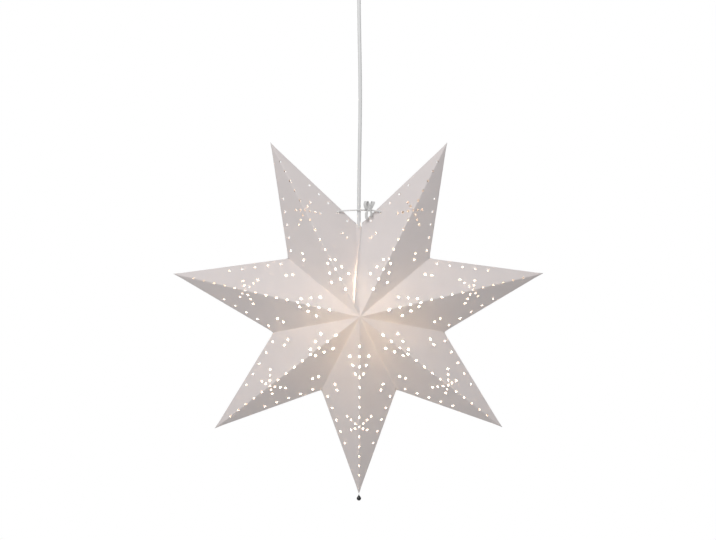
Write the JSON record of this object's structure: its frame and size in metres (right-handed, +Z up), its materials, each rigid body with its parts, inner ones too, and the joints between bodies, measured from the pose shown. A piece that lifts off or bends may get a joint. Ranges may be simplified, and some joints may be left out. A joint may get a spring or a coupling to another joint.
{
  "type": "hanging paper star lantern",
  "caption": "Hanging star lantern of folded pierced card on a cord, with a lamp holder and bulb inside, a bead at its lowest tip and a ceiling rose.",
  "frame": {"origin": "middle of the ceiling rose's top face, on the ceiling", "axes": "+Z up to the ceiling, the star hangs below; -Y is the star's front; +X to the viewer's right"},
  "size_m": [0.587, 0.1398, 0.8902],
  "materials": {
    "star_card": "matt translucent card with pierced holes",
    "cotton_string": "woven tape, drawn to a string where it is taut",
    "cord_sheath": "smooth white flex",
    "lead_sheath": "brown and blue core sheaths",
    "white_plastic": "satin moulded",
    "holder_plastic": "satin moulded",
    "terminal_plastic": "moulded",
    "bush_plastic": "hard nylon",
    "core_ceramic": "unglazed",
    "screw_steel": "zinc plated",
    "ring_steel": "bright wire",
    "contact_brass": "bare",
    "cap_nickel": "nickel plated",
    "opal_glass": "opal, lit warm white",
    "bulb_plastic": "moulded",
    "board_aluminium": "white solder mask",
    "insulator_black": "black glass seal",
    "black_glass": "glossy black"
  },
  "bodies": {
    "mount": {"rose_plate": "white_plastic", "cord_post": "white_plastic", "terminal_block": "terminal_plastic", "terminal_screws": "screw_steel", "cord_saddle": "white_plastic", "saddle_screws": "screw_steel", "cord_stub": "cord_sheath", "supply_leads": "lead_sheath"},
    "cover": {"rose_cover": "white_plastic", "gland_body": "white_plastic", "gland_nut": "white_plastic"},
    "swing_link": {"cord_bush": "bush_plastic"},
    "pendant": {"pendant_cord": "cord_sheath", "holder_cap": "holder_plastic", "cap_grip_screw": "screw_steel", "holder_shell": "holder_plastic", "holder_core": "core_ceramic", "core_screws": "screw_steel", "thread_shell": "contact_brass", "centre_contact": "contact_brass", "lamp_leads": "lead_sheath"},
    "bulb": {"bulb_globe": "opal_glass", "bulb_collar": "bulb_plastic", "led_board": "board_aluminium", "bulb_cap": "cap_nickel", "bulb_insulator": "insulator_black", "bulb_contact": "contact_brass"},
    "star": {"point_1": "star_card", "point_2": "star_card", "point_3": "star_card", "point_4": "star_card", "point_5": "star_card", "point_6": "star_card", "point_7": "star_card", "tie_string": "cotton_string"},
    "bead": {"bead_ring": "ring_steel", "tip_bead": "black_glass"}
  },
  "joints": [
    {"name": "cover_turn", "type": "hinge", "parent": "mount", "child": "cover", "pos_m": [0, 0, 0], "axis": [0, 0, 1], "range_deg": [0, 24]},
    {"name": "swing_side", "type": "hinge", "parent": "cover", "child": "swing_link", "pos_m": [0, 0, -0.0468], "axis": [0, 1, 0], "range_deg": [-20, 20]},
    {"name": "swing_front", "type": "hinge", "parent": "swing_link", "child": "pendant", "pos_m": [0, 0, -0.0468], "axis": [1, 0, 0], "range_deg": [-20, 20]},
    {"name": "bulb_turn", "type": "hinge", "parent": "pendant", "child": "bulb", "pos_m": [0, 0, -0.53], "axis": [0, 0, 1], "continuous": true},
    {"name": "star_turn", "type": "hinge", "parent": "pendant", "child": "star", "pos_m": [0, 0, -0.5799], "axis": [0, 0, 1], "continuous": true},
    {"name": "bead_swing", "type": "hinge", "parent": "star", "child": "bead", "pos_m": [0, 0, -0.87666], "axis": [0, 1, 0], "range_deg": [-45, 45]}
  ]
}
